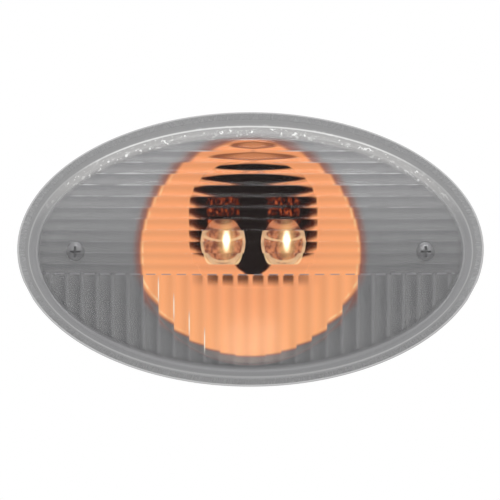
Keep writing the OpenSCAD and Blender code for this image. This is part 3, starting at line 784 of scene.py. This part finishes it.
def makeOpticMaterial():
    # Clear moulding with a painted glow of mottled amber light, a painted bright rim and the LED's streak
    # in the middle
    look = opticLook
    material, tree, shader = newMaterial("optic_clear")
    x, _, z, vector = objectPoint(tree)
    fromMiddle = minus(tree, x, insertSizes["middle"])
    ownMiddle = times(tree, calc(tree, "SIGN", fromMiddle), insertSizes["opticApart"])
    across = minus(tree, fromMiddle, ownMiddle)
    over = minus(tree, z, insertSizes["opticUp"])
    body = blendColours(tree, patchesOf(tree, vector, look["mottle"]), look["dark"], look["body"])
    # Painted shade over the cup, with a painted amber crescent of light
    overCup = fade(tree, over, *look["overCup"])
    body = blendColours(tree, times(tree, overCup, look["overCupShow"]), body, holderLook["edge"])
    crescent = times(tree, ringOf(tree, across, over, look["crescent"]), overCup)
    body = blendColours(tree, crescent, body, look["body"])
    # Painted highlights on the rim of the cup, its mouth and its foot
    rim = fade(tree, radiusOf(tree, across, over), *look["rim"])
    rim = times(tree, rim, fade(tree, over, *look["cup"]))
    mouth = ringOf(tree, across, over, look["mouth"])
    foot = times(tree, ringOf(tree, across, over, look["foot"]), fade(tree, over, *look["footDown"]))
    bright = times(tree, largest(tree, mouth, foot, rim), look["brightShow"])
    body = blendColours(tree, bright, body, look["bright"])
    # The streak is a soft oval a little to the right of the middle, with a warm glow round it
    streakX, streakUp = look["streakAt"]
    offX, offUp = minus(tree, across, streakX), minus(tree, over, streakUp)
    streak = ovalRadius(tree, offX, offUp, *look["streakHalf"])
    glow = times(tree, fade(tree, streak, *look["glowIn"]), look["glowShow"])
    body = blendColours(tree, glow, body, look["glow"])
    core = fade(tree, streak, *look["coreIn"])
    setInputs(tree, shader, {
        "Base Color": look["base"],
        "Transmission Weight": look["transmission"],
        "IOR": look["ior"],
        "Roughness": look["roughness"],
        "Emission Color": blendColours(tree, core, body, look["core"]),
        "Emission Strength": between(tree, core, *look["strength"]),
    })
    addGrain(tree, shader, vector, look["grain"])
    return material


def makeLedMaterial():
    look = ledLook
    material, tree, shader = newMaterial("led_package")
    pattern = noise(tree, objectPoint(tree)[3], look["scale"])
    setInputs(tree, shader, {
        "Base Color": look["colour"],
        "Roughness": look["roughness"],
        "Emission Color": opticLook["core"],
        "Emission Strength": between(tree, pattern, *look["strength"]),
    })
    return material


print("materials")
materials = {name: makeFinish(name) for name in finishes}
materials["lens_clear"] = makeLensMaterial()
materials["metallised"] = makeReflectorMaterial()
materials["holder_plastic"] = makeHolderMaterial()
materials["optic_clear"] = makeOpticMaterial()
materials["led_package"] = makeLedMaterial()

# Every piece of the CAD model takes the material of its slot, but the screws on the panel are satin
for part in frame["record"]["subparts"]:
    node = frame["nodes"][part["node"]]
    node.data.materials.clear()
    satin = part["node"].startswith("reflector_screw")
    node.data.materials.append(materials["satin_screw" if satin else part["material_slot"]])


# Pieces

smoothAngle = math.radians(18)


def addObject(name, data):
    added = bpy.data.objects.new(name, data)
    bpy.context.scene.collection.objects.link(added)
    return added


def makeObject(name, points, faces):
    mesh = bpy.data.meshes.new(name)
    mesh.from_pydata([tuple(p) for p in points], [], faces)
    mesh.update()
    return addObject(name, mesh)


def runTree(piece, tree, values):
    # Runs a Geometry Nodes tree on a piece and keeps what comes out as its plain mesh
    modifier = piece.modifiers.new("tree", "NODES")
    modifier.node_group = tree
    for item in tree.interface.items_tree:
        if item.item_type == "SOCKET" and item.in_out == "INPUT" and item.name in values:
            modifier[item.identifier] = values[item.name]
    evaluated = piece.evaluated_get(bpy.context.evaluated_depsgraph_get())
    made = bpy.data.meshes.new_from_object(evaluated)
    piece.modifiers.remove(modifier)
    old = piece.data
    piece.data = made
    bpy.data.meshes.remove(old)


def turnOutward(piece):
    work = bmesh.new()
    work.from_mesh(piece.data)
    bmesh.ops.recalc_face_normals(work, faces=work.faces)
    work.to_mesh(piece.data)
    work.free()


def standFor(piece, slot, *nodes):
    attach(piece, "root")
    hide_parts(*nodes)


def newTree(name, inputs):
    tree = bpy.data.node_groups.new(name, "GeometryNodeTree")
    tree.interface.new_socket("Geometry", in_out="INPUT", socket_type="NodeSocketGeometry")
    tree.interface.new_socket("Geometry", in_out="OUTPUT", socket_type="NodeSocketGeometry")
    for label in inputs:
        tree.interface.new_socket(label, in_out="INPUT", socket_type="NodeSocketFloat")
    return tree, addNode(tree, "NodeGroupInput"), addNode(tree, "NodeGroupOutput")


def endTree(tree, geometry, output, material):
    # Shades smooth but for real edges, and ends the tree
    shade = "GeometryNodeSetShadeSmooth"
    smooth = wire(tree, shade, {"Geometry": geometry, "Shade Smooth": True}, domain="FACE")
    angle = addNode(tree, "GeometryNodeInputMeshEdgeAngle").outputs[0]
    sharp = calc(tree, "GREATER_THAN", angle, smoothAngle)
    edges = {"Geometry": smooth, "Selection": sharp, "Shade Smooth": False}
    real = wire(tree, "GeometryNodeRealizeInstances", {0: wire(tree, shade, edges, domain="EDGE")})
    finished = wire(tree, "GeometryNodeSetMaterial", {"Geometry": real, "Material": material})
    tree.links.new(finished, output.inputs[0])


# Lens

lensSizes = {
    "wall": 2.2,
    "flange": 1.9,
    "flangeHeight": 2.5,
    "draft": math.radians(9),
    "shoulder": 5.2,
    "domeRadius": 250.0,
    "tongueHeight": 1.1,
    "tongueWidth": 1.2,
    "backing": 0.5,
    "weld": 0.002,
}
lensSteps = {"flute": 8, "foot": 18, "rim": 4, "wall": 6, "shoulder": 12, "dome": 22}

apex = -lensLow.y * unit
seat = -lensHigh.y * unit + lensSizes["tongueHeight"]
lensShare = (lensHalfHeight - lensSizes["flange"]) / (lensHalfWidth - lensSizes["flange"])


def fluteTree(material):
    # Pushes the inside of the lens in as round flutes, level above the split and upright below it
    tree, entry, output = newTree("flutes", ["Row Pitch", "Column Pitch", "Rise", "Split"])
    x, _, z = axesOf(tree, addNode(tree, "GeometryNodeInputPosition").outputs[0])
    rise = entry.outputs["Rise"]

    def bulge(along, pitch, label):
        share = offMiddle(tree, along, pitch)
        across = times(tree, share, pitch)
        half = times(tree, pitch, 0.5)
        squares = plus(tree, times(tree, half, half), times(tree, rise, rise))
        radius = ratio(tree, squares, times(tree, rise, 2.0))
        under = minus(tree, times(tree, radius, radius), times(tree, across, across))
        height = plus(tree, minus(tree, calc(tree, "SQRT", under), radius), rise)
        there = wire(tree, "GeometryNodeInputNamedAttribute", {"Name": label}, data_type="FLOAT")
        cusp = minus(tree, 0.5, absolute(tree, share))
        wave = calc(tree, "SINE", times(tree, share, 2 * math.pi))
        return times(tree, height, there), cusp, times(tree, wave, there)

    fromSplit = minus(tree, z, entry.outputs["Split"])
    level, rowCusp, rowWave = bulge(fromSplit, entry.outputs["Row Pitch"], "level")
    upright, columnCusp, columnWave = bulge(x, entry.outputs["Column Pitch"], "upright")
    store = "GeometryNodeStoreNamedAttribute"
    stored = {"rowCusp": rowCusp, "columnCusp": columnCusp, "wave": plus(tree, rowWave, columnWave)}
    geometry = entry.outputs["Geometry"]
    for label, value in stored.items():
        values = {"Geometry": geometry, "Name": label, "Value": value}
        geometry = wire(tree, store, values, data_type="FLOAT", domain="POINT")
    offset = wire(tree, "ShaderNodeCombineXYZ", {1: plus(tree, level, upright)})
    pushed = wire(tree, "GeometryNodeSetPosition", {"Geometry": geometry, "Offset": offset})
    weld = lensSizes["weld"] * mm
    welded = wire(tree, "GeometryNodeMergeByDistance", {"Geometry": pushed, "Distance": weld})
    endTree(tree, welded, output, material)
    return tree


def onFace(x, up):
    # Point on the domed inside face that the flutes stand on
    depth = lensSizes["wall"] + lensSizes["backing"]
    longRadius = lensSizes["domeRadius"] - depth
    shortRadius = longRadius * lensShare ** 2
    alongLamp = math.sqrt(longRadius ** 2 - x * x) - longRadius
    acrossLamp = math.sqrt(shortRadius ** 2 - up * up) - shortRadius
    return x, up, apex - depth + alongLamp + acrossLamp


def fieldRows(fieldWidth, fieldHeight):
    # Rows of points over the fluted field, upwards above the split and downwards below it
    split = fluteSizes["split"]
    land = fluteSizes["land"]
    steps = lensSteps["flute"]
    rowStep = fluteSizes["rowPitch"] / steps
    columnStep = fluteSizes["columnPitch"] / steps

    def reach(up):
        return fieldWidth * math.sqrt(1 - (up / fieldHeight) ** 2)

    def foot(x):
        return -fieldHeight * math.sqrt(1 - (x / (fieldWidth + land)) ** 2)

    widest = reach(split)
    sideSteps = math.floor((widest - land) / fluteSizes["columnPitch"]) * steps
    columns = [-widest] + [i * columnStep for i in range(-sideSteps, sideSteps + 1)] + [widest]
    rowCount = math.floor((fieldHeight - land - split) / fluteSizes["rowPitch"]) * steps
    upper = []
    for row in range(rowCount + 1):
        up = split + row * rowStep
        upper.append([onFace(x * reach(up) / widest, up) for x in columns])
    lower = []
    for row in range(lensSteps["foot"] + 1):
        part = row / lensSteps["foot"]
        lower.append([onFace(x, split + (foot(x) - split) * part) for x in columns])
    return upper, lower


def lensSection():
    # From the inside wall under the foot and over the outside, as half width, half height and level
    flange = lensSizes["flange"]
    flangeHeight = lensSizes["flangeHeight"]
    draft = lensSizes["draft"]
    dome = lensSizes["domeRadius"]
    radius = lensSizes["shoulder"]
    innerWidth = lensHalfWidth - flange - lensSizes["wall"]
    innerHeight = lensHalfHeight - flange - lensSizes["wall"]
    # The shoulder's middle lies where it touches both the drafted wall and the dome
    domeCentre = apex - dome
    fromX = lensHalfWidth - flange - radius * math.cos(draft)
    fromZ = seat - domeCentre - radius * math.sin(draft)
    along = fromZ * math.cos(draft) - fromX * math.sin(draft)
    run = math.sqrt(along ** 2 - fromX ** 2 - fromZ ** 2 + (dome - radius) ** 2) - along
    shoulderX = fromX - run * math.sin(draft)
    shoulderZ = fromZ + run * math.cos(draft) + domeCentre
    domeTurn = math.atan2(shoulderZ - domeCentre, shoulderX)

    def outside(x, height):
        return x, x * lensShare, height

    def inset(amount, height):
        return lensHalfWidth - amount, lensHalfHeight - amount, height

    section = []
    for i in range(lensSteps["wall"] + 1):
        height = shoulderZ + (seat - shoulderZ) * i / lensSteps["wall"]
        shrink = 1 - (height - seat) * math.tan(draft) / innerWidth
        section.append((innerWidth * shrink, innerHeight * shrink, height))
    tongueOuter = flange + (lensSizes["wall"] - lensSizes["tongueWidth"]) / 2
    tongueInner = tongueOuter + lensSizes["tongueWidth"]
    section += [
        inset(tongueInner, seat),
        inset(tongueInner, seat - lensSizes["tongueHeight"]),
        inset(tongueOuter, seat - lensSizes["tongueHeight"]),
        inset(tongueOuter, seat),
        inset(0, seat),
        inset(0, seat + flangeHeight),
    ]
    topX, topZ = shoulderX + radius * math.cos(draft), shoulderZ + radius * math.sin(draft)
    footX, footZ = lensHalfWidth - flange - flangeHeight * math.tan(draft), seat + flangeHeight
    for i in range(lensSteps["wall"]):
        part = i / lensSteps["wall"]
        section.append(outside(footX + (topX - footX) * part, footZ + (topZ - footZ) * part))
    for i in range(lensSteps["shoulder"] + 1):
        turn = draft + (domeTurn - draft) * i / lensSteps["shoulder"]
        section.append(outside(shoulderX + radius * math.cos(turn), shoulderZ + radius * math.sin(turn)))
    for i in range(1, lensSteps["dome"]):
        turn = domeTurn + (math.pi / 2 - domeTurn) * i / lensSteps["dome"]
        section.append(outside(dome * math.cos(turn), domeCentre + dome * math.sin(turn)))
    return section


def oval(width, tall, height, turns):
    return [(width * math.cos(turn), tall * math.sin(turn), height) for turn in turns]


def rimRing(outline, goal, part):
    # Ring that bends from the fluted face's outline towards the wall
    sideways = math.sin(part * math.pi / 2)
    downward = 1 - math.cos(part * math.pi / 2)
    shares = (sideways, sideways, downward)
    return [
        tuple(here + (there - here) * share for here, there, share in zip(start, end, shares))
        for start, end in zip(outline, goal)
    ]


def addRows(points, rows):
    # Adds rows of points, and gives the rows of their numbers
    numbers = []
    for row in rows:
        numbers.append(list(range(len(points), len(points) + len(row))))
        points += row
    return numbers


def joinRows(rows):
    faces = []
    for near, far in zip(rows, rows[1:]):
        faces += [(near[i], near[i + 1], far[i + 1], far[i]) for i in range(len(near) - 1)]
    return faces


def makeLens():
    fieldWidth = lensHalfWidth - fluteSizes["inset"]
    fieldHeight = lensHalfHeight - fluteSizes["inset"]
    upperRows, lowerRows = fieldRows(fieldWidth, fieldHeight)
    points = []
    upper = addRows(points, upperRows)
    lower = addRows(points, lowerRows)
    faces = joinRows([upper[0], lower[0]]) + joinRows(upper) + joinRows(lower)

    # Edge of the fluted face, once round from the left end of the split
    edge = [row[0] for row in upper] + upper[-1][1:] + [row[-1] for row in upper[-2::-1]]
    edge += [row[-1] for row in lower] + lower[-1][-2::-1] + [row[0] for row in lower[-2::-1]]
    outline = [points[n] for n in edge]
    turns = [math.atan2(up / fieldHeight, x / fieldWidth) for x, up, _ in outline]

    # Rings: first a few from the fluted face to the wall, then the section
    section = lensSection()
    goal = oval(*section[0], turns)
    rings = [rimRing(outline, goal, step / lensSteps["rim"]) for step in range(1, lensSteps["rim"])]
    rings += [oval(*level, turns) for level in section]
    closed = [ring + ring[:1] for ring in [edge] + addRows(points, rings)]
    faces += joinRows(closed)
    crown = len(points)
    points.append((0.0, 0.0, apex))
    faces += [(n, after, crown) for n, after in zip(closed[-1], closed[-1][1:])]

    lens = makeObject("lens", [place(*p) for p in points], faces)
    fluted = {"level": sum(upper, []), "upright": sum([row[1:-1] for row in lower], [])}
    for label, numbers in fluted.items():
        attribute = lens.data.attributes.new(label, "FLOAT", "POINT")
        for n in numbers:
            attribute.data[n].value = 1.0
    runTree(lens, fluteTree(materials["lens_clear"]), {
        "Row Pitch": fluteSizes["rowPitch"] * mm,
        "Column Pitch": fluteSizes["columnPitch"] * mm,
        "Rise": fluteSizes["rise"] * mm,
        "Split": fluteSizes["split"] * mm,
    })
    turnOutward(lens)
    standFor(lens, "lens_clear", "outer_lens")


print("lens")
makeLens()


# Studs with rolled threads. The thread's two ends and the collar's are heights over the hood.

studSizes = {
    "thread": 5.0,
    "pitch": 0.8,
    "depth": 0.4,
    "chamfer": 0.5,
    "threadTop": -0.7,
    "bareTip": 0.9,
    "collar": 6.2,
    "collarFoot": -0.1,
    "headWidth": 8.0,
    "headHeight": 3.5,
    "headEdge": 0.2,
    "headFootShare": 0.96,
    "headTopShare": 0.93,
    "headSides": 6,
    "sides": 48,
    "threadSteps": 24,
    "ridgeSides": 4,
}


def threadTree(material):
    # Winds a ridge round the stud's rod along a spiral and joins it to the stud
    tree, entry, output = newTree("thread", ["Turns", "Length", "Radius", "Ridge", "Start"])
    radius = entry.outputs["Radius"]
    spiral = wire(tree, "GeometryNodeCurveSpiral", {
        "Resolution": studSizes["threadSteps"],
        "Rotations": entry.outputs["Turns"],
        "Height": entry.outputs["Length"],
        "Start Radius": radius,
        "End Radius": radius,
    })
    path = wire(tree, "GeometryNodeSetCurveNormal", {0: spiral}, mode="Z_UP")
    outline = {"Resolution": studSizes["ridgeSides"], "Radius": entry.outputs["Ridge"]}
    profile = wire(tree, "GeometryNodeCurvePrimitiveCircle", outline)
    sweep = {"Curve": path, "Profile Curve": profile, "Fill Caps": True}
    ridge = wire(tree, "GeometryNodeCurveToMesh", sweep)
    shift = wire(tree, "ShaderNodeCombineXYZ", {1: entry.outputs["Start"]})
    turned = {"Geometry": ridge, "Rotation": (-math.pi / 2, 0, 0), "Translation": shift}
    stood = wire(tree, "GeometryNodeTransform", turned)
    join = addNode(tree, "GeometryNodeJoinGeometry")
    tree.links.new(stood, join.inputs[0])
    tree.links.new(entry.outputs["Geometry"], join.inputs[0])
    endTree(tree, join.outputs[0], output, material)
    return tree


def addTurned(points, faces, section, sides):
    # Adds a closed turned body; section is (radius, height) from one end to the other
    turns = [2 * math.pi * n / sides for n in range(sides)]
    rings = addRows(points, [oval(radius, radius, height, turns) for radius, height in section])
    faces += joinRows([ring + ring[:1] for ring in rings])
    faces.append(tuple(reversed(rings[0])))
    faces.append(tuple(rings[-1]))


def makeStuds():
    core = studSizes["thread"] / 2 - studSizes["depth"]
    chamfer = studSizes["chamfer"]
    collar = studSizes["collar"] / 2
    collarFoot = studSizes["collarFoot"]
    tip = -studHigh.y * unit
    headTop = -studLow.y * unit
    headFoot = headTop - studSizes["headHeight"]
    headRadius = studSizes["headWidth"] / 2 / math.cos(math.pi / studSizes["headSides"])
    rod = [
        (core - chamfer, tip),
        (core, tip + chamfer),
        (core, collarFoot - chamfer),
        (collar, collarFoot),
        (collar, headFoot),
    ]
    head = [
        (headRadius * studSizes["headFootShare"], headFoot),
        (headRadius, headFoot + studSizes["headEdge"]),
        (headRadius, headTop - studSizes["headEdge"]),
        (headRadius * studSizes["headTopShare"], headTop),
    ]
    length = studSizes["threadTop"] - (tip + studSizes["bareTip"])
    tree = threadTree(materials["zinc_steel"])
    for name in ("stud_left", "stud_right"):
        points, faces = [], []
        addTurned(points, faces, rod, studSizes["sides"])
        addTurned(points, faces, head, studSizes["headSides"])
        stud = makeObject(name.replace("stud", "threaded_stud"), [place(*p) for p in points], faces)
        runTree(stud, tree, {
            "Turns": length / studSizes["pitch"],
            "Length": length * mm,
            "Radius": core * mm,
            "Ridge": studSizes["depth"] * mm,
            "Start": -studSizes["threadTop"] * mm,
        })
        boxLow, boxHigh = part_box(name)
        stud.data.transform(Matrix.Translation(((boxLow.x + boxHigh.x) / 2, 0, 0)))
        turnOutward(stud)
        standFor(stud, "zinc_steel", name)


# Light, backdrop and camera, in metres. The world's light from one side is a gain and where it comes in.

stageLook = {
    "ahead": 0.34,
    "overhead": (0.55, 0.06, 0.6),
    "sideways": (0.22, 0.08, 0.6),
    "underneath": (-0.16, -0.02, -0.4),
    "floorDrop": 0.12,
    "floorSide": 0.5,
    "floorRoughness": 0.9,
    "floorColour": (0.92, 0.92, 0.92, 1),
    "lampPlace": (0.0, -0.45, 0.75),
    "lampSize": 0.5,
    "lampPower": 6.0,
}
cameraLook = {
    "distance": 1.5,
    "viewWidth": 0.1502,
    "elevation": math.radians(2.6),
    "aim": (-0.00015, -0.0073, -0.00015),
    "clipEnd": 10,
}


def makeWorld():
    # White to the camera and in metal and glass. As light on other surfaces it is dim ahead of the lamp,
    # and brighter overhead and at the sides.
    world = bpy.data.worlds.new("world")
    bpy.context.scene.world = world
    world.use_nodes = True
    tree = world.node_tree
    x, _, z = axesOf(tree, addNode(tree, "ShaderNodeTexCoord").outputs["Generated"])
    light = stageLook["ahead"]
    for name, along in (("overhead", z), ("sideways", absolute(tree, x)), ("underneath", z)):
        gain, start, end = stageLook[name]
        light = calc(tree, "MULTIPLY_ADD", fade(tree, along, start, end), gain, light)
    path = addNode(tree, "ShaderNodeLightPath").outputs
    seen = largest(tree, path["Is Camera Ray"], path["Is Glossy Ray"], path["Is Transmission Ray"])
    strength = between(tree, seen, light, 1.0)
    setInputs(tree, tree.nodes["Background"], {"Color": (1, 1, 1, 1), "Strength": strength})


def makeFloor():
    side = stageLook["floorSide"] / 2
    low = -stageLook["floorDrop"]
    corners = [(-side, -side, low), (side, -side, low), (side, side, low), (-side, side, low)]
    floor = makeObject("floor", corners, [(0, 1, 2, 3)])
    material, tree, shader = newMaterial("floor")
    look = {"Base Color": stageLook["floorColour"], "Roughness": stageLook["floorRoughness"]}
    setInputs(tree, shader, look)
    floor.data.materials.append(material)


def aim(thing, place, target):
    thing.location = place
    thing.rotation_mode = "QUATERNION"
    thing.rotation_quaternion = (target - thing.location).to_track_quat("-Z", "Y")


def makeLamp():
    light = bpy.data.lights.new("overhead", "AREA")
    light.energy = stageLook["lampPower"]
    light.size = stageLook["lampSize"]
    aim(addObject("overhead", light), stageLook["lampPlace"], Vector((0, 0, 0)))


def makeCamera():
    camera = addObject("camera", bpy.data.cameras.new("camera"))
    turn = cameraLook["elevation"]
    distance = cameraLook["distance"]
    target = Vector(cameraLook["aim"])
    aim(camera, target + Vector((0, -math.cos(turn), math.sin(turn))) * distance, target)
    camera.data.lens = camera.data.sensor_width * distance / cameraLook["viewWidth"]
    camera.data.clip_end = cameraLook["clipEnd"]
    bpy.context.scene.camera = camera


print("studs")
makeStuds()
print("stage")
makeWorld()
makeFloor()
makeLamp()
makeCamera()
bpy.context.scene.view_settings.view_transform = "Standard"
